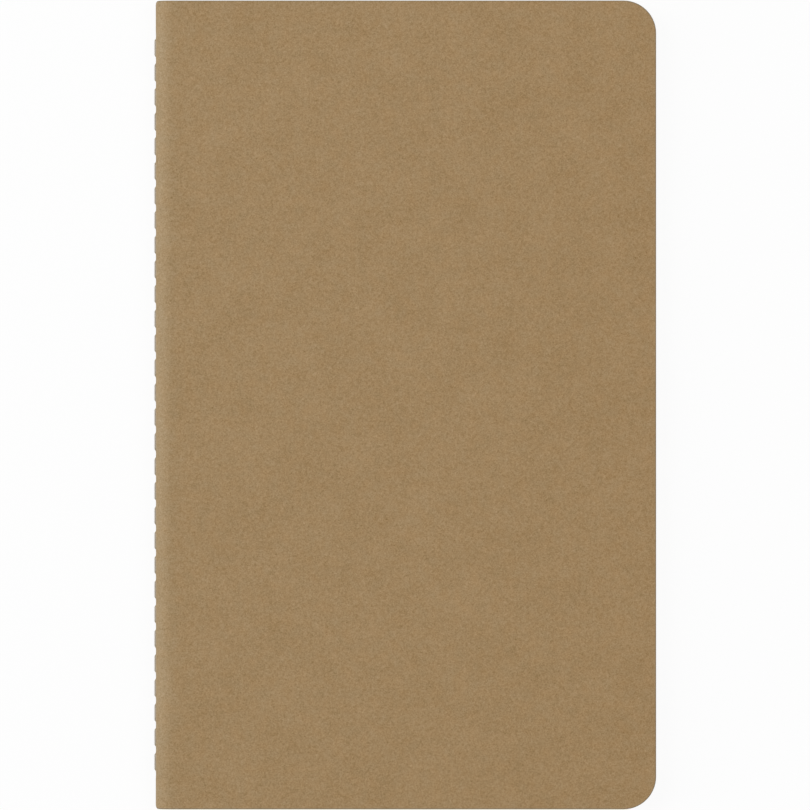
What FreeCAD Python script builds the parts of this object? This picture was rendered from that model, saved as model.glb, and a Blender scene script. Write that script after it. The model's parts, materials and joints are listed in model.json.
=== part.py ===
import FreeCAD, Part

# A sewn notebook with a card cover, closed and lying on its back cover.
#
# X runs from the spine (-X) to the fore edge (+X), Y runs along the spine and Z is up.
# The origin is at the middle of the notebook's footprint, on the surface that it lies on.
#
# The cover and the sheets in it are a nest of half sheets. Each is a flat leaf that ends at
# the spine in a quarter of a round fold. All the folds share one centre line, the fold
# centre, at half the notebook's thickness, so the back half is the front half turned over.
# Every leaf opens about the outer sewing thread, which lies along the fold of the cover.

import math
import os

import Sketcher

SIZES = [
    # alias, value in mm or a plain count, meaning
    ("page_length", 210.0, "along the spine"),
    ("cover_width", 130.0, "from the fold of the cover to the fore edge"),
    ("corner_radius", 8.5, "fore-edge corners of the cover and the leaves"),
    ("sheet_count", 20, "folded sheets, each of them two leaves"),
    ("paper", 0.09, "paper thickness"),
    ("paper_air", 0.02, "air between neighbouring leaves"),
    ("cover_card", 0.35, "cover card thickness"),
    ("centre_fold", 0.2, "inner radius of the innermost sheet's fold"),
    ("fold_air", 0.02, "cut between the two halves of a fold"),
    ("pocket_card", 0.25, "pocket panel thickness"),
    ("pocket_glue", 0.1, "glue line between the pocket panel and the back cover"),
    ("pocket_air", 0.04, "air between the pocket panel and the last leaf"),
    ("pocket_width", 102.0, "pocket panel, from its mouth to its fore edge"),
    ("pocket_inset", 0.5, "pocket panel, kept back from the edges of the cover"),
    ("glue_width", 6.0, "glue strip along three sides of the pocket"),
    ("stitch_count", 30, "stitches, one fewer than the needle holes"),
    ("stitch_pitch", 6.4, "from one needle hole to the next"),
    ("thread", 0.32, "outer (needle) thread diameter"),
    ("bobbin_thread", 0.26, "inner (bobbin) thread diameter"),
    ("thread_air", 0.02, "between a thread and the fold that it lies along"),
    ("thread_draw", 0.04, "how much a thread thins where it is drawn into a needle hole"),
    ("hole_air", 0.08, "round the thread in a needle hole"),
]

FITS = [
    # name, rule, meaning: the lengths and places that follow from the sizes
    ("leaf_pitch", "sizes.paper + sizes.paper_air", "from one leaf to the next"),
    (
        "block_radius",
        "sizes.centre_fold + sizes.sheet_count * fits.leaf_pitch - sizes.paper_air",
        "outside of the outermost sheet's fold",
    ),
    (
        "cover_inside",
        "fits.block_radius + sizes.pocket_air + sizes.pocket_card + sizes.pocket_glue",
        "inner radius of the cover's fold",
    ),
    ("cover_outside", "fits.cover_inside + sizes.cover_card", "outer radius of that fold"),
    ("flat", "sizes.cover_width - fits.cover_outside", "from the fold centre to the fore edge"),
    ("thread_stand", "sizes.thread_air + sizes.thread", "thread's stand off the cover's fold"),
    (
        "fold_centre",
        "fits.cover_outside + (fits.thread_stand - sizes.cover_width) / 2",
        "x of the fold centre, with the thread counted in the footprint",
    ),
    (
        "opening_axis",
        "fits.fold_centre - fits.cover_outside - sizes.thread_air - sizes.thread / 2",
        "x of the line that the notebook opens about",
    ),
    (
        "bobbin_axis",
        "fits.fold_centre - sizes.centre_fold + sizes.thread_air + sizes.bobbin_thread / 2",
        "x of the bobbin thread, inside the innermost fold",
    ),
    ("hole_radius", "sizes.thread / 2 + sizes.hole_air", "needle hole"),
    ("seam", "sizes.stitch_count * sizes.stitch_pitch", "from the first needle hole to the last"),
    ("pocket_half", "sizes.page_length / 2 - sizes.pocket_inset", "half the pocket's length"),
]

HERE = 1e-6  # mm: places closer than this are one place

doc = FreeCAD.newDocument("notebook")


def add_sizes():
    """The driving dimensions, one in each row of a sheet, with its alias."""
    sheet = doc.addObject("Spreadsheet::Sheet", "sizes")
    for row, (alias, value, meaning) in enumerate(SIZES, start=1):
        sheet.set(f"A{row}", alias)
        sheet.set(f"B{row}", str(value))
        sheet.set(f"C{row}", meaning)
        sheet.setAlias(f"B{row}", alias)
    doc.recompute()
    return sheet


def add_fits():
    """The lengths and places that follow from the driving dimensions."""
    values = doc.addObject("App::VarSet", "fits")
    for name, rule, meaning in FITS:
        values.addProperty("App::PropertyFloat", name, "Fits", meaning)
        values.setExpression(name, rule)
    doc.recompute()
    return values


sizes = add_sizes()
fits = add_fits()


def value_of(rule):
    """What a rule comes to with the sizes as they are."""
    return float(sizes.evalExpression(rule))


def new_body(name, x, z, turned=False):
    """A body with its own origin at (x, 0, z), turned over about X if asked."""
    body = doc.addObject("PartDesign::Body", name)
    body.Label = name
    if turned:
        half_turn = FreeCAD.Rotation(FreeCAD.Vector(1, 0, 0), 180)
        body.Placement = FreeCAD.Placement(FreeCAD.Vector(), half_turn)
    body.setExpression("Placement.Base.x", x)
    body.setExpression("Placement.Base.z", z)
    return body


def origin_feature(body, role):
    """The body's own origin plane or axis with this role."""
    return next(f for f in body.Origin.OriginFeatures if f.Role == role)


def new_sketch(body, name, plane):
    """A sketch on an origin plane of its own body."""
    sketch = body.newObject("Sketcher::SketchObject", f"{body.Name}_{name}")
    sketch.AttachmentSupport = (origin_feature(body, plane), [""])
    sketch.MapMode = "FlatFace"
    return sketch


def fix(sketch, kind, *places):
    """Adds a geometric constraint."""
    sketch.addConstraint(Sketcher.Constraint(kind, *places))


def measure(sketch, kind, places, value, rule):
    """Adds a sized constraint near its value and binds it to a rule."""
    index = sketch.addConstraint(Sketcher.Constraint(kind, *places, value))
    sketch.setExpression(f"Constraints[{index}]", rule)


def add_pad(body, sketch, length, centred=False, backwards=False):
    """Thickens a sketch into a solid."""
    pad = body.newObject("PartDesign::Pad", f"{sketch.Name}_pad")
    pad.Profile = sketch
    pad.SideType = "Symmetric" if centred else "One side"
    pad.Reversed = backwards
    pad.setExpression("Length", length)
    return pad


def round_fore_edge(body, base, x, radius):
    """Rounds the upright edges that lie at x, the two corners of a leaf or panel."""
    doc.recompute()
    corners = []
    for number, edge in enumerate(base.Shape.Edges, start=1):
        box = edge.BoundBox
        if box.XLength < HERE and box.YLength < HERE and abs(box.XMax - x) < HERE:
            corners.append(f"Edge{number}")
    fillet = body.newObject("PartDesign::Fillet", f"{body.Name}_corners")
    fillet.Base = (base, corners)
    fillet.setExpression("Radius", radius)
    return fillet


def repeat_along_seam(body, feature):
    """Repeats a feature made at the seam's -Y end at every needle hole."""
    pattern = body.newObject("PartDesign::LinearPattern", f"{feature.Name}_row")
    pattern.Originals = [feature]
    pattern.Direction = (origin_feature(body, "Y_Axis"), [""])
    pattern.setExpression("Length", "fits.seam")
    pattern.setExpression("Occurrences", "sizes.stitch_count + 1")
    body.Tip = pattern
    doc.recompute()
    return pattern


def circle_at_first_hole(body, name, radius_rule, radius):
    """A circle on the body's YZ plane, centred on the needle hole at the seam's -Y end."""
    sketch = new_sketch(body, name, "YZ_Plane")
    first = FreeCAD.Vector(-fits.seam / 2, 0, 0)
    sketch.addGeometry(Part.Circle(first, FreeCAD.Vector(0, 0, 1), radius))
    measure(sketch, "Radius", (0,), radius, radius_rule)
    measure(sketch, "DistanceX", (0, 3, -1, 1), fits.seam / 2, "fits.seam / 2")
    fix(sketch, "PointOnObject", 0, 3, -1)
    return sketch


def pierce(body):
    """Cuts the half of every needle hole that lies in this half of a fold."""
    before = body.Shape.Volume
    sketch = circle_at_first_hole(body, "needle_hole", "fits.hole_radius", fits.hole_radius)
    hole = body.newObject("PartDesign::Pocket", f"{sketch.Name}_cut")
    hole.Profile = sketch
    hole.SideType = "One side"
    hole.setExpression("Length", "fits.cover_outside")
    doc.recompute()
    if before - hole.Shape.Volume < HERE:
        raise RuntimeError(f"{body.Label}: the needle hole cuts nothing")
    repeat_along_seam(body, hole)


def half_sheet(name, inside_rule, thickness_rule, front):
    """One leaf or cover: a flat with a quarter of a round fold at the spine.

    It is drawn as a front half, with the fold centre at the body's origin.
    """
    body = new_body(name, "fits.fold_centre", "fits.cover_outside", turned=not front)
    outside_rule = f"{inside_rule} + {thickness_rule}"
    sketch = new_sketch(body, "profile", "XZ_Plane")
    inside = value_of(inside_rule)
    outside = value_of(outside_rule)
    cut = sizes.fold_air / 2
    flat = fits.flat
    centre = FreeCAD.Vector()
    up = FreeCAD.Vector(0, 0, 1)
    quarter = (math.pi / 2, math.pi)
    points = [
        FreeCAD.Vector(0, inside, 0),
        FreeCAD.Vector(flat, inside, 0),
        FreeCAD.Vector(flat, outside, 0),
        FreeCAD.Vector(0, outside, 0),
        FreeCAD.Vector(-outside, cut, 0),
        FreeCAD.Vector(-inside, cut, 0),
    ]
    inner_arc = sketch.addGeometry(Part.ArcOfCircle(Part.Circle(centre, up, inside), *quarter))
    outer_arc = sketch.addGeometry(Part.ArcOfCircle(Part.Circle(centre, up, outside), *quarter))
    under = sketch.addGeometry(Part.LineSegment(points[0], points[1]))
    fore_edge = sketch.addGeometry(Part.LineSegment(points[1], points[2]))
    top = sketch.addGeometry(Part.LineSegment(points[2], points[3]))
    fold_cut = sketch.addGeometry(Part.LineSegment(points[4], points[5]))
    for arc in (inner_arc, outer_arc):
        fix(sketch, "Coincident", arc, 3, -1, 1)
    fix(sketch, "Tangent", inner_arc, 1, under, 1)
    fix(sketch, "Coincident", under, 2, fore_edge, 1)
    fix(sketch, "Coincident", fore_edge, 2, top, 1)
    fix(sketch, "Tangent", top, 2, outer_arc, 1)
    fix(sketch, "Coincident", outer_arc, 2, fold_cut, 1)
    fix(sketch, "Coincident", fold_cut, 2, inner_arc, 2)
    fix(sketch, "Horizontal", under)
    fix(sketch, "Horizontal", top)
    fix(sketch, "Horizontal", fold_cut)
    fix(sketch, "Vertical", fore_edge)
    measure(sketch, "Radius", (inner_arc,), inside, inside_rule)
    measure(sketch, "Radius", (outer_arc,), outside, outside_rule)
    measure(sketch, "DistanceX", (-1, 1, fore_edge, 1), flat, "fits.flat")
    measure(sketch, "DistanceY", (-1, 1, fold_cut, 1), cut, "sizes.fold_air / 2")
    leaf = add_pad(body, sketch, "sizes.page_length", centred=True)
    round_fore_edge(body, leaf, flat, "sizes.corner_radius")
    doc.recompute()
    pierce(body)
    return body


def thread_along_seam(name, x_rule, thickness_rule, reach_rule, inwards):
    """A sewing thread laid along the fold, with a short run into every needle hole.

    The runs go towards the fore edge if inwards is true, and towards the spine if not. They
    end in the fold that the thread lies on, at the reach from the thread's own axis.
    """
    body = new_body(name, x_rule, "fits.cover_outside")
    radius_rule = f"{thickness_rule} / 2"
    radius = value_of(radius_rule)
    section = new_sketch(body, "section", "XZ_Plane")
    section.addGeometry(Part.Circle(FreeCAD.Vector(), FreeCAD.Vector(0, 0, 1), radius))
    fix(section, "Coincident", 0, 3, -1, 1)
    measure(section, "Radius", (0,), radius, radius_rule)
    add_pad(body, section, f"fits.seam + {thickness_rule}", centred=True)
    run_rule = f"({thickness_rule} - sizes.thread_draw) / 2"
    run = circle_at_first_hole(body, "needle_run", run_rule, value_of(run_rule))
    run_pad = add_pad(body, run, reach_rule, backwards=not inwards)
    doc.recompute()
    repeat_along_seam(body, run_pad)
    return body


def pocket_body(name, z_rule):
    """A body whose origin is at the middle of the pocket's fore edge."""
    return new_body(name, "fits.fold_centre + fits.flat - sizes.pocket_inset", z_rule)


def polygon(sketch, corners):
    """A closed outline through the corners, with every side along an axis of the sketch."""
    count = len(corners)
    for start, end in zip(corners, corners[1:] + corners[:1]):
        line = Part.LineSegment(FreeCAD.Vector(*start, 0), FreeCAD.Vector(*end, 0))
        index = sketch.addGeometry(line)
        fix(sketch, "Horizontal" if start[1] == end[1] else "Vertical", index)
    for index in range(count):
        fix(sketch, "Coincident", index, 2, (index + 1) % count, 1)


def place_outline(sketch):
    """Sizes a pocket outline whose first side is its lower edge and second its fore edge."""
    half = fits.pocket_half
    fix(sketch, "PointOnObject", 1, 1, -2)
    measure(sketch, "DistanceY", (1, 1, -1, 1), half, "fits.pocket_half")
    measure(sketch, "DistanceY", (-1, 1, 1, 2), half, "fits.pocket_half")
    measure(sketch, "DistanceX", (0, 1, 0, 2), sizes.pocket_width, "sizes.pocket_width")


def pocket_panel():
    """The card panel that makes the pocket inside the back cover."""
    body = pocket_body("pocket_panel", "sizes.cover_card + sizes.pocket_glue")
    sketch = new_sketch(body, "outline", "XY_Plane")
    half = fits.pocket_half
    width = sizes.pocket_width
    polygon(sketch, [(-width, -half), (0, -half), (0, half), (-width, half)])
    place_outline(sketch)
    panel = add_pad(body, sketch, "sizes.pocket_card")
    round_fore_edge(body, panel, 0, "sizes.corner_radius - sizes.pocket_inset")
    return body


def pocket_glue():
    """The glue between panel and cover, along the top, the bottom and the fore edge."""
    body = pocket_body("pocket_glue", "sizes.cover_card")
    sketch = new_sketch(body, "outline", "XY_Plane")
    half = fits.pocket_half
    width = sizes.pocket_width
    strip = sizes.glue_width
    inner = half - strip
    outer_corners = [(-width, -half), (0, -half), (0, half), (-width, half)]
    inner_corners = [(-width, inner), (-strip, inner), (-strip, -inner), (-width, -inner)]
    polygon(sketch, outer_corners + inner_corners)
    place_outline(sketch)
    fix(sketch, "Equal", 0, 2)
    fix(sketch, "Equal", 3, 7)
    measure(sketch, "DistanceX", (5, 1, 1, 1), strip, "sizes.glue_width")
    measure(sketch, "DistanceY", (3, 2, 3, 1), strip, "sizes.glue_width")
    glue = add_pad(body, sketch, "sizes.pocket_glue")
    round_fore_edge(body, glue, 0, "sizes.corner_radius - sizes.pocket_inset")
    return body


def cover(name, front):
    """One half of the folded cover card."""
    return half_sheet(name, "fits.cover_inside", "sizes.cover_card", front)


def leaf(number, depth, front):
    """One leaf, counted from the innermost sheet by its depth in the nest."""
    inside_rule = f"sizes.centre_fold + {depth} * fits.leaf_pitch"
    return half_sheet(f"leaf_{number:02d}", inside_rule, "sizes.paper", front)


def build():
    """All the pieces, from the front cover through the leaves to the back cover."""
    sheets = int(sizes.sheet_count)
    pieces = [cover("front_cover", front=True)]
    for depth in reversed(range(sheets)):
        pieces.append(leaf(sheets - depth, depth, front=True))
    for depth in range(sheets):
        pieces.append(leaf(sheets + 1 + depth, depth, front=False))
    pieces.append(cover("back_cover", front=False))
    pieces.append(pocket_panel())
    pieces.append(pocket_glue())
    pieces.append(
        thread_along_seam(
            "needle_thread",
            "fits.opening_axis",
            "sizes.thread",
            "sizes.thread / 2 + sizes.thread_air + sizes.cover_card",
            inwards=True,
        )
    )
    pieces.append(
        thread_along_seam(
            "bobbin_thread",
            "fits.bobbin_axis",
            "sizes.bobbin_thread",
            "sizes.bobbin_thread / 2 + sizes.thread_air + sizes.paper / 2",
            inwards=False,
        )
    )
    doc.recompute()
    return pieces


def check(pieces):
    """Stops if any object failed or any piece is not one valid solid."""
    for thing in doc.Objects:
        if "Invalid" in thing.State or "Error" in thing.State:
            raise RuntimeError(f"{thing.Name} is {thing.State}")
    for piece in pieces:
        if piece.Shape.isNull() or not piece.Shape.isValid():
            raise RuntimeError(f"{piece.Label} has no valid shape")
        if len(piece.Shape.Solids) != 1:
            raise RuntimeError(f"{piece.Label} is {len(piece.Shape.Solids)} solids")


def write(pieces):
    """One STEP file for each piece."""
    os.makedirs("parts", exist_ok=True)
    for piece in pieces:
        piece.Shape.exportStep(f"parts/{piece.Label}.step")


notebook = build()
check(notebook)
write(notebook)
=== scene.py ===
import json
import logging
import math
import random
from dataclasses import dataclass
from enum import Enum
from typing import Any

import bmesh
import bpy
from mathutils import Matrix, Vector


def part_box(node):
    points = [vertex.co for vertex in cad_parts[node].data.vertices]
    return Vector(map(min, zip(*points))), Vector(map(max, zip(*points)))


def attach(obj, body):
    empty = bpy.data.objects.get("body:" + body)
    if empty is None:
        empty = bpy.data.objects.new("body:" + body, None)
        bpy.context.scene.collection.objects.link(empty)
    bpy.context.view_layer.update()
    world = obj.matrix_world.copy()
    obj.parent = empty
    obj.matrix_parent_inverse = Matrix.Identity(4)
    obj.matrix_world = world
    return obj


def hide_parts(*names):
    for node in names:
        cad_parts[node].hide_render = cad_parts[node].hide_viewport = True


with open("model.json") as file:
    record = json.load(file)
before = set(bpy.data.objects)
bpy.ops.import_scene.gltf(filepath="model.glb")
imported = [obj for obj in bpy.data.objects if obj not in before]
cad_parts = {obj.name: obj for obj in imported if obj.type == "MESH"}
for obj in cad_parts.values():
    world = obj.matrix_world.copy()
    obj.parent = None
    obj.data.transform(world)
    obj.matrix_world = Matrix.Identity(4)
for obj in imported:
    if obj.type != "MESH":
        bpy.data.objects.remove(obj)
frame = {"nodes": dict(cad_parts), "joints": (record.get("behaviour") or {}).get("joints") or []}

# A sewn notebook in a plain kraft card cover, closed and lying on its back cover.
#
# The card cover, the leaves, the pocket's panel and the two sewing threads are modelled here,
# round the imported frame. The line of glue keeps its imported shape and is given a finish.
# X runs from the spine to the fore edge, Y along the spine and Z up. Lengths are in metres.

log = logging.getLogger("notebook")

MM = 0.001
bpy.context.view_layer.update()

Colour = tuple[float, float, float]


class Side(Enum):
    """Which half of the folded cover a piece is, and the way it faces."""

    FRONT = 1
    BACK = -1

    @property
    def cover(self) -> str:
        """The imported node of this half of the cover, which is also its body."""
        return "front_cover" if self is Side.FRONT else "back_cover"

    def face_outwards(self, sheet: bmesh.types.BMesh) -> None:
        """Turns the faces of a back half outwards, because it is bent as a mirrored front half."""
        if self is Side.BACK:
            bmesh.ops.reverse_faces(sheet, faces=sheet.faces)


class Ply(Enum):
    """Which way the plies of a thread turn round each other."""

    LEFT = -1
    RIGHT = 1


# ---------------------------------------------------------------------------- the frame


@dataclass(frozen=True)
class NotebookSizes:
    """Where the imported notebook's main lines lie."""

    length: float
    fore_edge: float
    fold: float
    middle: float
    card: float
    axis: float
    needle_thread: float
    bobbin_thread: float
    bobbin_axis: float
    seam: float
    paper: float = 0.09 * MM
    corner: float = 8.5 * MM
    stitches: int = 30
    worn_length: float = 1.1 * MM
    worn_depth: float = 0.6 * MM
    worn_steps: tuple[float, ...] = (0.04, 0.12, 0.5, 1.0)

    @classmethod
    def from_frame(cls) -> "NotebookSizes":
        """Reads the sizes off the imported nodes.

        Returns:
            The sizes, in metres.
        """
        low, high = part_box("front_cover")
        glue_low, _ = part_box("pocket_glue")
        needle_low, needle_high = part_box("needle_thread")
        bobbin_low, bobbin_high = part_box("bobbin_thread")
        axis = frame["joints"][0]["pos_m"]
        middle = axis[2]
        needle = needle_high.z - needle_low.z
        bobbin = bobbin_high.z - bobbin_low.z
        return cls(
            length=high.y - low.y,
            fore_edge=high.x,
            fold=low.x,
            middle=middle,
            card=glue_low.z,
            axis=axis[0],
            needle_thread=needle,
            bobbin_thread=bobbin,
            bobbin_axis=bobbin_high.x - bobbin / 2,
            seam=needle_high.y - needle_low.y - needle,
        )

    @property
    def pitch(self) -> float:
        """From one needle hole to the next."""
        return self.seam / self.stitches

    def holes(self) -> list[float]:
        """The Y of every needle hole."""
        return [n * self.pitch - self.seam / 2 for n in range(self.stitches + 1)]

    def worn_lines(self) -> list[float]:
        """The Y of the lines that divide the two worn ends of the spine."""
        ends = [self.worn_length * share for share in self.worn_steps]
        return [sign * (self.length / 2 - end) for end in ends for sign in (-1, 1)]

    def worn(self, y: float) -> float:
        """How far wear has drawn the spine in.

        Args:
            y: a place along the spine.

        Returns:
            The distance: nothing along the spine, and most at its two ends.
        """
        share = 1 - (self.length / 2 - abs(y)) / self.worn_length
        share = min(1.0, max(0.0, share))
        return self.worn_depth * (1 - math.sqrt(1 - share * share))


# --------------------------------------------------------------------------- materials


class Tree:
    """The nodes of a material or of the sky."""

    def __init__(self, tree: bpy.types.NodeTree) -> None:
        """Wraps a node tree."""
        self.tree = tree

    def link(self, source: "Value | bpy.types.NodeSocket", socket: bpy.types.NodeSocket) -> None:
        """Feeds an input socket."""
        self.tree.links.new(source.socket if isinstance(source, Value) else source, socket)

    def add(
        self,
        kind: str,
        settings: dict[str, Any] | None = None,
        values: dict[Any, Any] | None = None,
    ) -> bpy.types.Node:
        """Adds a node of any kind.

        Args:
            kind: the node's type, without its ShaderNode prefix.
            settings: the node's own properties, which are set first.
            values: each input's value, or the Value or socket that feeds it.

        Returns:
            The node.
        """
        node = self.tree.nodes.new(f"ShaderNode{kind}")
        for key, setting in (settings or {}).items():
            setattr(node, key, setting)
        for key, value in (values or {}).items():
            if isinstance(value, (Value, bpy.types.NodeSocket)):
                self.link(value, node.inputs[key])
            else:
                node.inputs[key].default_value = value
        return node

    def only_seen(self) -> "Value":
        """Tells what the camera sees from what only lights the notebook.

        Returns:
            1 for what the camera sees, straight or in gloss or glass, and 0 for light.
        """
        path = self.add("LightPath")
        kinds = ("Is Camera Ray", "Is Glossy Ray", "Is Transmission Ray")
        camera, gloss, glass = (Value(self, path.outputs[kind]) for kind in kinds)
        return (camera + gloss + glass).between(0.0, 1.0)


class Value:
    """A number that varies over a surface. Arithmetic on it adds Math nodes."""

    def __init__(self, tree: Tree, socket: bpy.types.NodeSocket) -> None:
        """Wraps an output socket of a tree."""
        self.tree = tree
        self.socket = socket

    def _maths(self, operation: str, *operands: Any) -> "Value":
        """Adds one Math node.

        Args:
            operation: the node's operation.
            operands: its inputs in order, each a Value or a plain number.

        Returns:
            The node's result.
        """
        node = self.tree.add("Math", {"operation": operation}, dict(enumerate(operands)))
        return Value(self.tree, node.outputs[0])

    def __add__(self, other: Any) -> "Value":
        """self + other."""
        return self._maths("ADD", self, other)

    def __radd__(self, other: Any) -> "Value":
        """other + self."""
        return self._maths("ADD", other, self)

    def __sub__(self, other: Any) -> "Value":
        """self - other."""
        return self._maths("SUBTRACT", self, other)

    def __rsub__(self, other: Any) -> "Value":
        """other - self."""
        return self._maths("SUBTRACT", other, self)

    def __mul__(self, other: Any) -> "Value":
        """self * other."""
        return self._maths("MULTIPLY", self, other)

    def __rmul__(self, other: Any) -> "Value":
        """other * self."""
        return self._maths("MULTIPLY", other, self)

    def between(self, low: float, high: float) -> "Value":
        """How far the number is from low to high, from 0 to 1 and no further."""
        values = {"Value": self, "From Min": low, "From Max": high}
        return Value(self.tree, self.tree.add("MapRange", {"clamp": True}, values).outputs[0])


class Surface(Tree):
    """A new material: one Principled shader, and short ways of adding what feeds it."""

    MIX_FACTOR, MIX_A, MIX_B, MIX_RESULT = 0, 6, 7, 2

    def __init__(self, name: str, roughness: float, specular: float) -> None:
        """Makes the material with its even values.

        Args:
            name: the material's name.
            roughness: the roughness where nothing varies it.
            specular: the specular level.
        """
        self.material = bpy.data.materials.new(name)
        self.material.use_nodes = True
        super().__init__(self.material.node_tree)
        self.shader = self.tree.nodes["Principled BSDF"]
        self.shader.inputs["Roughness"].default_value = roughness
        self.shader.inputs["Specular IOR Level"].default_value = specular

    def place(
        self,
        turn: float = 0.0,
        stretch: Colour = (1.0, 1.0, 1.0),
        own: bpy.types.NodeSocket | None = None,
    ) -> bpy.types.NodeSocket:
        """The piece's own coordinates, turned about Z and stretched.

        Args:
            turn: the turn about Z, in radians.
            stretch: what each axis is multiplied by after the turn.
            own: other coordinates to start from.

        Returns:
            The coordinates' socket.
        """
        own = own or self.add("TexCoord").outputs["Object"]
        turned = self.add("Mapping", None, {"Vector": own, "Rotation": (0.0, 0.0, turn)})
        stretched = self.add("Mapping", None, {"Vector": turned.outputs[0], "Scale": stretch})
        return stretched.outputs[0]

    def bent(self, size: float, amount: float) -> bpy.types.NodeSocket:
        """The piece's own coordinates, pushed about so that straight patterns curve.

        Args:
            size: the size of the bends, in metres.
            amount: how far the bends push, in metres.

        Returns:
            The coordinates' socket.
        """
        own = self.place()
        push = self.add("TexNoise", None, {"Vector": own, "Scale": 1 / size, "Detail": 0.0})
        values = {0: push.outputs["Color"], 1: (amount,) * 3, 2: own}
        return self.add("VectorMath", {"operation": "MULTIPLY_ADD"}, values).outputs[0]

    def noise(
        self,
        size: float,
        detail: float = 2.0,
        rough: float = 0.5,
        place: bpy.types.NodeSocket | None = None,
    ) -> Value:
        """Soft noise.

        Args:
            size: the size of its largest features, in metres.
            detail: how many finer layers it has.
            rough: how strong the finer layers are.
            place: the coordinates it reads, or the piece's own.

        Returns:
            A number round 0.5.
        """
        values = {
            "Vector": place or self.place(),
            "Scale": 1 / size,
            "Detail": detail,
            "Roughness": rough,
        }
        return Value(self, self.add("TexNoise", None, values).outputs[0])

    def attribute(self, name: str) -> Value:
        """A number kept on the piece's own vertices."""
        node = self.add("Attribute", {"attribute_name": name})
        return Value(self, node.outputs["Fac"])

    def blend(self, factor: Value, low: Any, high: Any) -> bpy.types.NodeSocket:
        """A colour between two others.

        Args:
            factor: 0 for low and 1 for high.
            low: a colour, or the socket of one.
            high: a colour, or the socket of one.

        Returns:
            The colour's socket.
        """
        values = {self.MIX_FACTOR: factor}
        for key, colour in ((self.MIX_A, low), (self.MIX_B, high)):
            values[key] = (*colour, 1.0) if isinstance(colour, tuple) else colour
        settings = {"data_type": "RGBA", "clamp_factor": False}
        return self.add("Mix", settings, values).outputs[self.MIX_RESULT]

    def multiply(self, colour: Any, tint: Any) -> bpy.types.NodeSocket:
        """One colour times another.

        Args:
            colour: the socket of a colour.
            tint: the socket of a colour.

        Returns:
            The product's socket.
        """
        values = {self.MIX_FACTOR: 1.0, self.MIX_A: colour, self.MIX_B: tint}
        settings = {"data_type": "RGBA", "blend_type": "MULTIPLY"}
        return self.add("Mix", settings, values).outputs[self.MIX_RESULT]

    def finish(
        self,
        colour: bpy.types.NodeSocket,
        height: Value,
        depth: float,
        roughness: Value,
    ) -> bpy.types.Material:
        """Feeds the shader.

        Args:
            colour: the base colour's socket.
            height: the height of the surface, from 0 to 1.
            depth: what a height of 1 is, in metres.
            roughness: the roughness, which varies a little.

        Returns:
            The material.
        """
        bump = self.add("Bump", None, {"Height": height, "Distance": depth, "Strength": 1.0})
        self.link(bump.outputs[0], self.shader.inputs["Normal"])
        self.link(colour, self.shader.inputs["Base Color"])
        self.link(roughness, self.shader.inputs["Roughness"])
        return self.material


def scaled(colour: Colour, by: float) -> Colour:
    """A colour made lighter or darker."""
    return (colour[0] * by, colour[1] * by, colour[2] * by)


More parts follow.
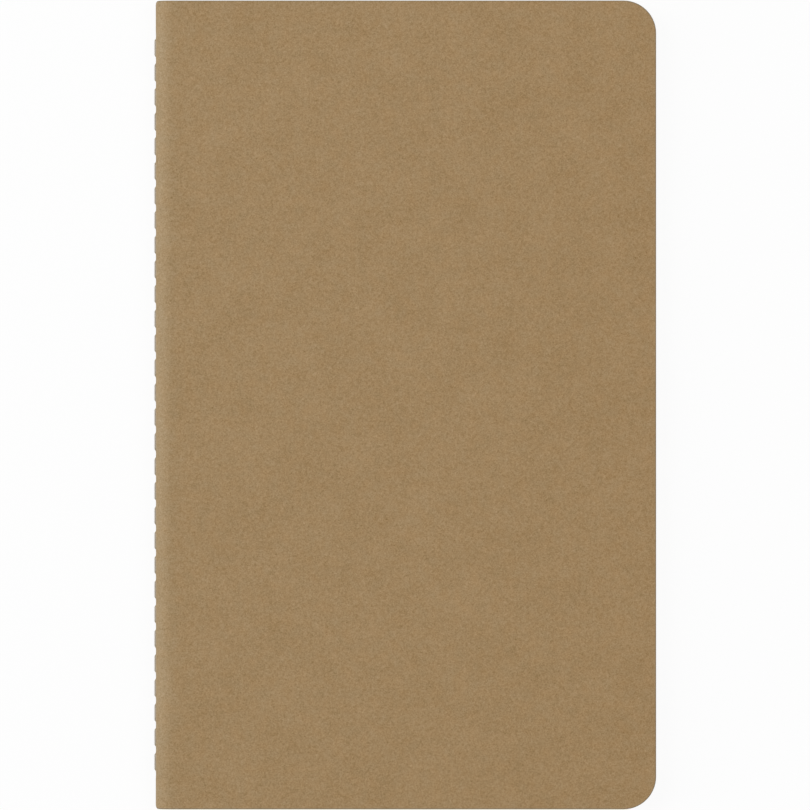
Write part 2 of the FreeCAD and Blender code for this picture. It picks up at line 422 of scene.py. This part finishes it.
@dataclass(frozen=True)
class KraftCard:
    """Uncoated brown card: soft clouds, a fine tooth and loose fibres lying every way."""

    name: str = "kraft_card"
    brown: Colour = (0.317, 0.198, 0.081)
    redder: Colour = (1.02, 0.994, 0.955)
    greener: Colour = (0.98, 1.006, 1.045)
    # Painted sheen: a paler, greyer tint for the outside of the card, strongest at the spine's fold
    painted_sheen: Colour = (0.97, 1.08, 1.28)
    # Partly the cut edge's own darker brown and partly painted shade: used at the cut outline, in the
    # needle holes and at the pocket's mouth
    cut_edge_and_shade_brown: Colour = (0.18, 0.135, 0.08)
    cloud_size: float = 9.0 * MM
    patch_size: float = 3.2 * MM
    tooth_size: float = 0.75 * MM
    grain_size: float = 0.34 * MM
    speck_size: float = 0.6 * MM
    fibre_width: float = 0.13 * MM
    fibre_length: float = 1.7 * MM
    fibre_bend: float = 0.5 * MM
    fibre_ways: tuple[float, ...] = (0.2, 0.7, 1.25, 1.8, 2.3, 2.85)
    contrast: Colour = (0.29, 0.36, 0.6)
    middle_tone: float = 0.52
    cloud_weight: float = 0.34
    tooth_weight: float = 0.9
    grain_weight: float = 1.1
    fibre_weight: float = 0.16
    fibre_cover: float = 0.2
    speck_weight: float = 0.35
    cut_edge_and_shade_weight: float = 0.9
    tooth_depth: float = 0.03 * MM

    def shade(self, way: int) -> Colour:
        """The darkest brown for a way of -1, and the lightest for 1."""
        red, green, blue = (b * (1 + way * c) for b, c in zip(self.brown, self.contrast))
        return (red, green, blue)

    def fibres(self, surface: Surface) -> Value:
        """The loose fibres: streaks of stretched noise in several directions.

        Args:
            surface: the material that they are added to.

        Returns:
            0 between the fibres, up to 1 on one.
        """
        along = self.fibre_width / self.fibre_length
        bent = surface.bent(self.fibre_length, self.fibre_bend)
        total = None
        for way in self.fibre_ways:
            place = surface.place(way, (1.0, along, 1.0), bent)
            streak = surface.noise(self.fibre_width, 0.0, 0.5, place).between(0.66, 0.8)
            total = streak if total is None else total + streak
        return total

    def material(self) -> bpy.types.Material:
        """Makes the card's material.

        Returns:
            The material.
        """
        surface = Surface(self.name, roughness=0.62, specular=0.5)
        clouds = surface.noise(self.cloud_size, 3.0, 0.6)
        tooth = surface.noise(self.tooth_size, 2.0, 0.7)
        grain = surface.noise(self.grain_size, 1.0, 0.6)
        fibres = self.fibres(surface)
        fine = (tooth - 0.5) * self.tooth_weight + (grain - 0.5) * self.grain_weight
        specks = surface.noise(self.speck_size, 1.0, 0.6).between(0.69, 0.78)
        tone = self.middle_tone + (clouds - 0.5) * self.cloud_weight + fine
        tone = tone + (fibres - self.fibre_cover) * self.fibre_weight - specks * self.speck_weight
        card = surface.blend(tone, self.shade(-1), self.shade(1))
        patches = surface.noise(self.patch_size, 1.0, 0.5).between(0.25, 0.75)
        tint = surface.blend(patches, self.redder, self.greener)
        # Painted sheen: the fold share tints the outside paler and greyer, most at the spine's fold and
        # fading towards the fore edge
        painted_sheen = surface.blend(surface.attribute("fold"), (1.0, 1.0, 1.0), self.painted_sheen)
        tinted = surface.multiply(surface.multiply(card, tint), painted_sheen)
        # Darker at the cut outline, in the needle holes and at the pocket's mouth: partly the cut edge's
        # own brown, partly painted shade
        cut = surface.attribute("cut")
        edged_and_shaded = surface.blend(cut.between(0.15, 0.8) * self.cut_edge_and_shade_weight, tinted, self.cut_edge_and_shade_brown)
        height = tooth * 0.45 + grain * 0.35 + fibres * 0.2
        return surface.finish(edged_and_shaded, height, self.tooth_depth, 0.55 + tooth * 0.14)


@dataclass(frozen=True)
class PagePaper:
    """Uncoated ivory writing paper, cut clean at its edges."""

    name: str = "page_paper"
    ivory: Colour = (0.87, 0.82, 0.69)
    cloud_size: float = 9.0 * MM
    tooth_size: float = 0.5 * MM
    leaf_size: float = 0.16 * MM
    cloud_weight: float = 0.3
    tooth_weight: float = 0.8
    leaf_weight: float = 1.2
    tooth_depth: float = 0.01 * MM

    def material(self) -> bpy.types.Material:
        """Makes the paper's material.

        Returns:
            The material.
        """
        surface = Surface(self.name, roughness=0.85, specular=0.25)
        clouds = surface.noise(self.cloud_size, 2.0)
        tooth = surface.noise(self.tooth_size, 2.0, 0.6)
        across_leaves = surface.place(0.0, (0.0, 0.0, 1.0))
        leaves = surface.noise(self.leaf_size, 0.0, 0.5, across_leaves)
        tone = 0.5 + (clouds - 0.5) * self.cloud_weight + (tooth - 0.5) * self.tooth_weight
        tone = tone + (leaves - 0.5) * self.leaf_weight
        paper = surface.blend(tone, scaled(self.ivory, 0.93), scaled(self.ivory, 1.05))
        return surface.finish(paper, tooth, self.tooth_depth, 0.8 + tooth * 0.1)


@dataclass(frozen=True)
class ThreadCotton:
    """Matt beige sewing thread with fine hairs along its plies."""

    name: str = "sewing_thread"
    beige: Colour = (0.46, 0.38, 0.255)
    hair_size: float = 0.07 * MM
    hair_depth: float = 0.01 * MM

    def material(self) -> bpy.types.Material:
        """Makes the thread's material.

        Returns:
            The material.
        """
        surface = Surface(self.name, roughness=0.75, specular=0.3)
        hairs = surface.noise(self.hair_size, 2.0, 0.6)
        colour = surface.blend(hairs, scaled(self.beige, 0.7), scaled(self.beige, 1.2))
        return surface.finish(colour, hairs, self.hair_depth, 0.65 + hairs * 0.2)


@dataclass(frozen=True)
class DriedGlue:
    """A thin dried line of pale glue with small bubbles."""

    name: str = "dried_glue"
    pale: Colour = (0.62, 0.55, 0.40)
    bubble_size: float = 0.8 * MM
    bubble_depth: float = 0.02 * MM

    def material(self) -> bpy.types.Material:
        """Makes the glue's material.

        Returns:
            The material.
        """
        surface = Surface(self.name, roughness=0.4, specular=0.5)
        bubbles = surface.noise(self.bubble_size, 2.0)
        colour = surface.blend(bubbles, scaled(self.pale, 0.85), scaled(self.pale, 1.1))
        return surface.finish(colour, bubbles, self.bubble_depth, 0.3 + bubbles * 0.3)


# ------------------------------------------------------------------------------ pieces


def new_object(name: str, mesh: bpy.types.Mesh, material: bpy.types.Material) -> bpy.types.Object:
    """Puts a finished mesh in the scene.

    Args:
        name: the piece's name.
        mesh: its mesh, in place.
        material: its finish.

    Returns:
        The new object, at the origin.
    """
    mesh.name = name
    mesh.materials.clear()
    mesh.materials.append(material)
    piece = bpy.data.objects.new(name, mesh)
    bpy.context.scene.collection.objects.link(piece)
    return piece


@dataclass(frozen=True)
class Fitting:
    """Where a new piece belongs: its name, the body it moves with and what it stands for."""

    name: str
    body: str
    node: str
    slot: str
    crease: float = math.radians(40)

    def finish(self, mesh: bpy.types.Mesh, material: bpy.types.Material) -> bpy.types.Object:
        """Turns a mesh into the piece.

        Args:
            mesh: the piece's mesh, in place.
            material: its finish.

        Returns:
            The piece, riding on its body.
        """
        mesh.shade_smooth()
        piece = new_object(self.name, mesh, material)
        mesh.set_sharp_from_angle(angle=self.crease)
        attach(piece, self.body)
        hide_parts(self.node)
        return piece


@dataclass(frozen=True)
class Blank:
    """A flat sheet with two round corners. X runs from its spine side, Y along it, Z is 0."""

    width: float
    length: float
    corner: float
    thickness: float
    rim: float = 0.34 * MM
    corner_steps: int = 14
    merge_gap: float = 0.001 * MM
    cut_angle: float = 1.0

    def sheet(self) -> bmesh.types.BMesh:
        """The outline, filled, with a narrow rim round it.

        Returns:
            A flat mesh.
        """
        sheet = bmesh.new()
        bmesh.ops.create_grid(sheet, x_segments=1, y_segments=1, size=0.5)
        bmesh.ops.scale(sheet, vec=(self.width, self.length, 1), verts=sheet.verts)
        bmesh.ops.translate(sheet, vec=(self.width / 2, 0, 0), verts=sheet.verts)
        corners = [v for v in sheet.verts if v.co.x > self.width / 2]
        bmesh.ops.bevel(
            sheet,
            geom=corners,
            offset=self.corner,
            affect="VERTICES",
            segments=self.corner_steps,
            profile=0.5,
            material=-1,
        )
        bmesh.ops.inset_region(
            sheet, faces=sheet.faces[:], thickness=self.rim, use_boundary=True, use_even_offset=True
        )
        return sheet

    def divide(self, sheet: bmesh.types.BMesh, along: list[float], across: list[float]) -> None:
        """Divides the sheet, so that it can be bent.

        Args:
            sheet: the flat mesh.
            along: the X of each line that runs along the spine.
            across: the Y of each line that runs across it.
        """
        for lines, normal in ((along, Vector((1, 0, 0))), (across, Vector((0, 1, 0)))):
            for line in lines:
                everything = sheet.verts[:] + sheet.edges[:] + sheet.faces[:]
                bmesh.ops.bisect_plane(sheet, geom=everything, plane_co=normal * line, plane_no=normal)
        bmesh.ops.remove_doubles(sheet, verts=sheet.verts, dist=self.merge_gap)

    def thicken(self, sheet: bmesh.types.BMesh) -> None:
        """Raises the sheet to its thickness, above Z 0.

        Args:
            sheet: the divided, flat mesh.
        """
        raised = bmesh.ops.extrude_face_region(sheet, geom=sheet.faces[:])["geom"]
        raised = [v for v in raised if isinstance(v, bmesh.types.BMVert)]
        bmesh.ops.translate(sheet, vec=(0, 0, self.thickness), verts=raised)
        bmesh.ops.recalc_face_normals(sheet, faces=sheet.faces)

    def soften(self, sheet: bmesh.types.BMesh, radius: float, start: float) -> None:
        """Rounds the cut edges.

        Args:
            sheet: the thickened mesh.
            radius: how far the rounding reaches.
            start: the X that it starts from.
        """
        rim = [
            edge
            for edge in sheet.edges
            if len(edge.link_faces) == 2
            and edge.calc_face_angle() > self.cut_angle
            and min(v.co.x for v in edge.verts) > start
        ]
        bmesh.ops.bevel(
            sheet,
            geom=rim,
            offset=radius,
            affect="EDGES",
            segments=2,
            profile=0.5,
            material=-1,
        )
        bmesh.ops.remove_doubles(sheet, verts=sheet.verts, dist=self.merge_gap)
        bmesh.ops.dissolve_degenerate(sheet, edges=sheet.edges, dist=self.merge_gap)

    def cut_share(self, along: float, length: float) -> float:
        """How near a point is to the cut outline.

        Args:
            along: its X on the blank.
            length: its Y.

        Returns:
            1 on the outline, down to 0 where the rim ends.
        """
        dx = along - self.width + self.corner
        dy = abs(length) - self.length / 2 + self.corner
        gap = self.corner - (math.hypot(dx, dy) if dx > 0 and dy > 0 else max(dx, dy))
        return max(0.0, 1 - gap / self.rim)


@dataclass
class CoverHalf:
    """Half of the cover: a card blank, rolled round the spine at one end and pierced there."""

    sizes: NotebookSizes
    side: Side
    roll_steps: int = 18
    shoulder: float = 4.4 * MM
    soft_edge: float = 0.06 * MM
    fold_cut: float = 0.001 * MM
    fold_cut_inside: float = 0.02 * MM
    hole_half_length: float = 0.45 * MM
    hole_depth: float = 0.14 * MM
    # How far the painted sheen reaches from the fold, and how much of it fades there
    painted_sheen_reach: float = 8.0 * MM
    painted_sheen_share: float = 0.8
    hole_steps: tuple[float, ...] = (0, 30, 60, 80, 90)
    flat_step: float = 2.0 * MM
    pucker_reach: float = 1.3 * MM
    pucker_depth: float = 0.06 * MM

    @property
    def roll(self) -> float:
        """The length of blank that is rolled into a quarter of the oval fold."""
        return math.pi / 2 * math.sqrt((self.shoulder**2 + self.sizes.middle**2) / 2)

    def cut_lines(self) -> tuple[list[float], list[float]]:
        """Where the blank is divided, so that it can be rolled, pierced and puckered.

        Returns:
            The X of the lines along the spine, and the Y of the lines across it.
        """
        along = [self.roll * n / self.roll_steps for n in range(1, self.roll_steps + 1)]
        along += [self.roll + self.flat_step, self.sizes.fore_edge]
        reach = self.hole_half_length
        steps = [reach * math.sin(math.radians(angle)) for angle in self.hole_steps]
        steps.append(self.pucker_reach)
        across = [hole + sign * step for hole in self.sizes.holes() for step in steps for sign in (-1, 1)]
        return along, sorted({*across, *self.sizes.worn_lines()})

    def hole_share(self, length: float) -> float:
        """How far a place is from the nearest needle hole's middle, which is 0. The hole ends at 1."""
        return min(abs(length - hole) for hole in self.sizes.holes()) / self.hole_half_length

    def pierce(self, card: bmesh.types.BMesh) -> None:
        """Draws the fold's edge in at every needle hole.

        Args:
            card: the divided blank.
        """
        for vertex in card.verts:
            share = self.hole_share(vertex.co.y)
            if vertex.co.x < self.hole_depth / 2 and share < 1:
                vertex.co.x = self.hole_depth * math.sqrt(1 - share * share)

    def drawn_in(self, along: float, length: float) -> float:
        """How far the card is drawn in towards the leaves, by the stitches or by wear.

        Args:
            along: the point's distance from the fold, round the card.
            length: its Y.

        Returns:
            The distance.
        """
        reach = math.hypot(self.hole_share(length) * self.hole_half_length, along) / self.pucker_reach
        return self.pucker_depth * math.exp(-3 * reach * reach) + self.sizes.worn(length)

    def painted_sheen(self, along: float, width: float) -> float:
        """How much painted sheen the outside gets: most at the fold, and a little less all the way to the
        fore edge.
        """
        near = max(0.0, 1 - along / self.painted_sheen_reach)
        return self.painted_sheen_share * near + (1 - self.painted_sheen_share) * (1 - along / width)

    def rolled(self, along: float, length: float, height: float) -> Vector:
        """Where a point of the blank goes when the card is rolled round the spine.

        Args:
            along: its distance from the fold.
            length: its Y.
            height: its height above the inside of the card.

        Returns:
            Its place in the notebook.
        """
        sign = self.side.value
        high = self.sizes.middle
        inwards = self.sizes.card - height
        if along > self.roll:
            flat = self.sizes.fold + self.shoulder + along - self.roll
            return Vector((flat, length, high + sign * (high - inwards)))
        start = (self.fold_cut + self.fold_cut_inside * inwards / self.sizes.card) / high
        angle = start + (math.pi / 2 - start) * along / self.roll
        outside = Vector((-self.shoulder * math.cos(angle), 0, high * math.sin(angle)))
        outwards = Vector((-math.cos(angle) / self.shoulder, 0, math.sin(angle) / high)).normalized()
        place = outside - outwards * inwards
        x = self.sizes.fold + self.shoulder + place.x + self.drawn_in(along, length) * math.cos(angle)
        return Vector((x, length, high + sign * place.z))

    def build(self, material: bpy.types.Material) -> bpy.types.Object:
        """Cuts, pierces, thickens, softens and rolls the card.

        Args:
            material: the card's finish.

        Returns:
            The piece.
        """
        sizes = self.sizes
        width = self.roll + sizes.fore_edge - sizes.fold - self.shoulder
        blank = Blank(width, sizes.length, sizes.corner, sizes.card)
        card = blank.sheet()
        blank.divide(card, *self.cut_lines())
        self.pierce(card)
        blank.thicken(card)
        blank.soften(card, self.soft_edge, self.hole_depth)
        cut = card.verts.layers.float.new("cut")
        fold = card.verts.layers.float.new("fold")
        for vertex in card.verts:
            x, y, z = vertex.co
            # Painted sheen share, kept on the outer face of the card only
            vertex[fold] = self.painted_sheen(x, width) * z / sizes.card
            # Painted shade in the needle holes: their walls get the full darkening
            in_hole = x <= self.hole_depth and self.hole_share(y) < 1
            vertex[cut] = 1.0 if in_hole else blank.cut_share(x, y)
            vertex.co = self.rolled(x, y, z)
        self.side.face_outwards(card)
        mesh = bpy.data.meshes.new(self.side.cover)
        card.to_mesh(mesh)
        card.free()
        name = self.side.cover
        return Fitting(f"{name}_card", name, name, "kraft_card").finish(mesh, material)


@dataclass
class PageLeaf:
    """One leaf: a paper blank, rolled round its own fold, with its inner margin in the gutter.

    The inner margin lies between the two halves of the book, from the leaf's fold to the
    cover's fold, so that a page runs on into the gutter wherever the book is opened.
    """

    sizes: NotebookSizes
    number: int
    side: Side
    depth: int
    roll_steps: int = 10
    margin_gap: float = 0.0006 * MM
    margin_paper: float = 0.0004 * MM
    margin_stop: float = 0.14 * MM
    trim: float = 0.05 * MM

    @property
    def node(self) -> str:
        """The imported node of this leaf, which is also its body."""
        return f"leaf_{self.number:02d}"

    def build(self, material: bpy.types.Material, trim_share: float) -> bpy.types.Object:
        """Cuts, thickens and rolls the leaf.

        Args:
            material: the paper's finish.
            trim_share: how far back this leaf is trimmed at the fore edge, from 0 to 1.

        Returns:
            The piece.
        """
        sizes = self.sizes
        low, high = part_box(self.node)
        outside = max(high.z - sizes.middle, sizes.middle - low.z)
        centre = low.x + outside
        inside = outside - sizes.paper
        margin = low.x - sizes.fold - self.margin_stop
        roll = outside * math.pi / 2
        flat = sizes.fore_edge - centre - trim_share * self.trim
        blank = Blank(margin + roll + flat, sizes.length, sizes.corner, sizes.paper, corner_steps=10)
        leaf = blank.sheet()
        lines = [margin + roll * n / self.roll_steps for n in range(self.roll_steps + 1)]
        blank.divide(leaf, lines, sizes.worn_lines())
        blank.thicken(leaf)
        for vertex in leaf.verts:
            along, y, height = vertex.co
            radius = inside + height
            stand = self.margin_gap * (self.depth + 1) + self.margin_paper * height / sizes.paper
            if along < margin:
                crease = centre - radius
                start = min(crease, sizes.fold + self.margin_stop + sizes.worn(y))
                place = (start + (crease - start) * along / margin, stand)
            elif along < margin + roll:
                angle = (along - margin) / roll * math.pi / 2
                place = (centre - radius * math.cos(angle), max(stand, radius * math.sin(angle)))
            else:
                place = (centre + along - margin - roll, radius)
            vertex.co = (place[0], y, sizes.middle + self.side.value * place[1])
        self.side.face_outwards(leaf)
        mesh = bpy.data.meshes.new(self.node)
        leaf.to_mesh(mesh)
        leaf.free()
        return Fitting(f"{self.node}_page", self.node, self.node, "page_paper").finish(mesh, material)


@dataclass
class BookBlock:
    """All the leaves, from the first page to the last."""

    sizes: NotebookSizes
    sheets: int = 20
    seed: int = 7

    def build(self, material: bpy.types.Material) -> list[bpy.types.Object]:
        """Builds the leaves.

        Args:
            material: the paper's finish.

        Returns:
            The leaves, in page order.
        """
        trims = random.Random(self.seed)
        leaves = []
        for number in range(1, 2 * self.sheets + 1):
            front = number <= self.sheets
            side = Side.FRONT if front else Side.BACK
            depth = self.sheets - number if front else number - self.sheets - 1
            leaf = PageLeaf(self.sizes, number, side, depth)
            leaves.append(leaf.build(material, trims.random()))
        return leaves


@dataclass
class Pocket:
    """The card panel inside the back cover, and the line of glue that holds it on three sides."""

    sizes: NotebookSizes
    soft_edge: float = 0.05 * MM
    cover_margin: float = 0.5 * MM

    def build(self, card: bpy.types.Material, glue: bpy.types.Material) -> bpy.types.Object:
        """Cuts the panel and dresses the glue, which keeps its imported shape.

        Args:
            card: the panel's finish.
            glue: the glue's finish.

        Returns:
            The panel.
        """
        low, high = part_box("pocket_panel")
        width, length, thickness = high - low
        blank = Blank(width, length, self.sizes.corner - self.cover_margin, thickness)
        panel = blank.sheet()
        blank.thicken(panel)
        blank.soften(panel, self.soft_edge, -blank.rim)
        cut = panel.verts.layers.float.new("cut")
        for vertex in panel.verts:
            x, y, _ = vertex.co
            # The pocket's mouth and outline get the darker edge: partly the cut edge's own brown, partly
            # painted shade
            mouth = max(0.0, 1 - x / blank.rim)
            vertex[cut] = max(mouth, blank.cut_share(x, y))
        bmesh.ops.translate(panel, vec=(low.x, 0, low.z), verts=panel.verts)
        mesh = bpy.data.meshes.new("pocket_panel")
        panel.to_mesh(mesh)
        panel.free()
        line = frame["nodes"]["pocket_glue"].data
        line.materials.clear()
        line.materials.append(glue)
        fitting = Fitting("pocket_panel_card", "back_cover", "pocket_panel", "kraft_card")
        return fitting.finish(mesh, card)


@dataclass
class SewingThread:
    """A stitched thread: three plies twisted together, dipping into every needle hole."""

    sizes: NotebookSizes
    node: str
    body: str
    axis: float
    thickness: float
    dip: float
    twist: Ply
    plies: int = 3
    twist_pitch: float = 1.25 * MM
    dip_start: float = 1.4 * MM
    dip_end: float = 0.6 * MM
    steps_per_twist: int = 10
    ply_share: float = 0.46

    def centre(self, y: float) -> Vector:
        """The middle of the thread.

        Args:
            y: a place along the seam.

        Returns:
            The point there.
        """
        nearest = min(abs(y - hole) for hole in self.sizes.holes())
        share = (self.dip_start - nearest) / (self.dip_start - self.dip_end)
        share = min(1.0, max(0.0, share))
        depth = share * share * (3 - 2 * share)
        return Vector((self.axis + self.dip * depth, y, self.sizes.middle))

    def ply_line(self, turn: float) -> list[Vector]:
        """The line of one ply.

        Args:
            turn: its starting angle round the thread.

        Returns:
            Its points, from one end of the seam to the other.
        """
        spread = self.thickness / 2 * (1 - self.ply_share)
        count = round(self.sizes.seam / self.twist_pitch * self.steps_per_twist)
        line = []
        for n in range(count + 1):
            y = self.sizes.seam * (n / count - 0.5)
            angle = turn + self.twist.value * 2 * math.pi * y / self.twist_pitch
            aside = Vector((math.cos(angle), 0, math.sin(angle))) * spread
            line.append(self.centre(y) + aside)
        return line

    def build(self, material: bpy.types.Material) -> bpy.types.Object:
        """Twists the plies and joins them.

        Args:
            material: the thread's finish.

        Returns:
            The piece.
        """
        curve = bpy.data.curves.new(self.node, "CURVE")
        curve.dimensions = "3D"
        curve.bevel_depth = self.thickness / 2 * self.ply_share
        curve.bevel_resolution = 1
        curve.use_fill_caps = True
        for ply in range(self.plies):
            line = self.ply_line(2 * math.pi * ply / self.plies)
            spline = curve.splines.new("POLY")
            spline.points.add(len(line) - 1)
            for point, place in zip(spline.points, line):
                point.co = (*place, 1.0)
        holder = bpy.data.objects.new(self.node, curve)
        mesh = bpy.data.meshes.new_from_object(holder)
        bpy.data.objects.remove(holder)
        fitting = Fitting(f"{self.node}_plies", self.body, self.node, "sewing_thread")
        return fitting.finish(mesh, material)


# ------------------------------------------------------------------------------- stage


@dataclass(frozen=True)
class Softbox:
    """A large square lamp that faces the notebook."""

    name: str
    place: tuple[float, float, float]
    size: float
    power: float

    def build(self) -> None:
        """Hangs the lamp."""
        lamp = bpy.data.lights.new(self.name, "AREA")
        lamp.shape = "SQUARE"
        lamp.size = self.size
        lamp.energy = self.power
        softbox = bpy.data.objects.new(self.name, lamp)
        softbox.location = self.place
        softbox.rotation_euler = (-Vector(self.place)).to_track_quat("-Z", "Y").to_euler()
        bpy.context.scene.collection.objects.link(softbox)


@dataclass
class Studio:
    """A white table, soft light from above and a camera looking straight down."""

    sizes: NotebookSizes
    floor_half: float = 4.0
    floor_drop: float = 0.02 * MM
    floor_glow: float = 0.92
    floor_white: float = 0.9
    view_width: float = 210.3 * MM
    view_centre: tuple[float, float] = (-0.03 * MM, -0.02 * MM)
    lens: float = 400.0
    sensor: float = 36.0
    sky: float = 0.4
    softboxes: tuple[Softbox, ...] = (
        Softbox("left_softbox", (-1.1, 0.6, 1.5), 1.0, 13.5),
        Softbox("right_softbox", (1.2, 0.3, 1.5), 1.0, 8.5),
        Softbox("low_softbox", (-1.3, 0.0, 0.45), 0.9, 6.5),
    )

    def build_floor(self) -> None:
        """A large pale table that looks white to the camera and keeps soft shadows."""
        grid = bmesh.new()
        bmesh.ops.create_grid(grid, x_segments=1, y_segments=1, size=self.floor_half)
        mesh = bpy.data.meshes.new("table")
        bmesh.ops.translate(grid, vec=(0, 0, -self.floor_drop), verts=grid.verts)
        grid.to_mesh(mesh)
        grid.free()
        surface = Surface("white_table", roughness=1.0, specular=0.0)
        surface.shader.inputs["Base Color"].default_value = (*(self.floor_white,) * 3, 1.0)
        glow = surface.add("Emission", None, {"Color": (1.0, 1.0, 1.0, 1.0), "Strength": 1.0})
        seen = surface.only_seen() * self.floor_glow
        values = {0: seen, 1: surface.shader.outputs[0], 2: glow.outputs[0]}
        mix = surface.add("MixShader", None, values)
        out = surface.tree.nodes["Material Output"]
        surface.link(mix.outputs[0], out.inputs["Surface"])
        table = new_object("table", mesh, surface.material)

    def build_sky(self) -> None:
        """Even light from everywhere, which looks white to the camera."""
        world = bpy.data.worlds.new("studio")
        world.use_nodes = True
        sky = Tree(world.node_tree)
        strength = self.sky + sky.only_seen() * (1 - self.sky)
        background = sky.tree.nodes["Background"]
        background.inputs["Color"].default_value = (1.0, 1.0, 1.0, 1.0)
        sky.link(strength, background.inputs["Strength"])
        bpy.context.scene.world = world

    def build_camera(self) -> None:
        """A long lens straight above, with the spine on the left."""
        camera = bpy.data.cameras.new("camera")
        camera.lens = self.lens
        camera.sensor_width = self.sensor
        distance = self.view_width * self.lens / self.sensor
        eye = bpy.data.objects.new("camera", camera)
        x, y = self.view_centre
        eye.location = (x, y, 2 * self.sizes.middle + distance)
        bpy.context.scene.collection.objects.link(eye)
        bpy.context.scene.camera = eye

    def build(self) -> None:
        """Sets the whole stage."""
        bpy.context.scene.view_settings.view_transform = "Standard"
        self.build_floor()
        self.build_sky()
        for softbox in self.softboxes:
            softbox.build()
        self.build_camera()


def main() -> None:
    """Builds the notebook and its stage."""
    logging.basicConfig(level=logging.INFO, format="%(name)s: %(message)s")
    sizes = NotebookSizes.from_frame()
    Studio(sizes).build()
    kraft = KraftCard().material()
    cotton = ThreadCotton().material()
    pieces = [CoverHalf(sizes, side).build(kraft) for side in Side]
    pieces.append(Pocket(sizes).build(kraft, DriedGlue().material()))
    pieces += BookBlock(sizes).build(PagePaper().material())
    needle = SewingThread(
        sizes,
        node="needle_thread",
        body="back_cover",
        axis=sizes.axis,
        thickness=sizes.needle_thread,
        dip=0.42 * MM,
        twist=Ply.LEFT,
    )
    bobbin = SewingThread(
        sizes,
        node="bobbin_thread",
        body="leaf_21",
        axis=sizes.bobbin_axis,
        thickness=sizes.bobbin_thread,
        dip=-0.15 * MM,
        twist=Ply.RIGHT,
    )
    pieces += [thread.build(cotton) for thread in (needle, bobbin)]
    for piece in pieces:
        log.info("%s: %d faces", piece.name, len(piece.data.polygons))


if __name__ == "__main__":
    main()
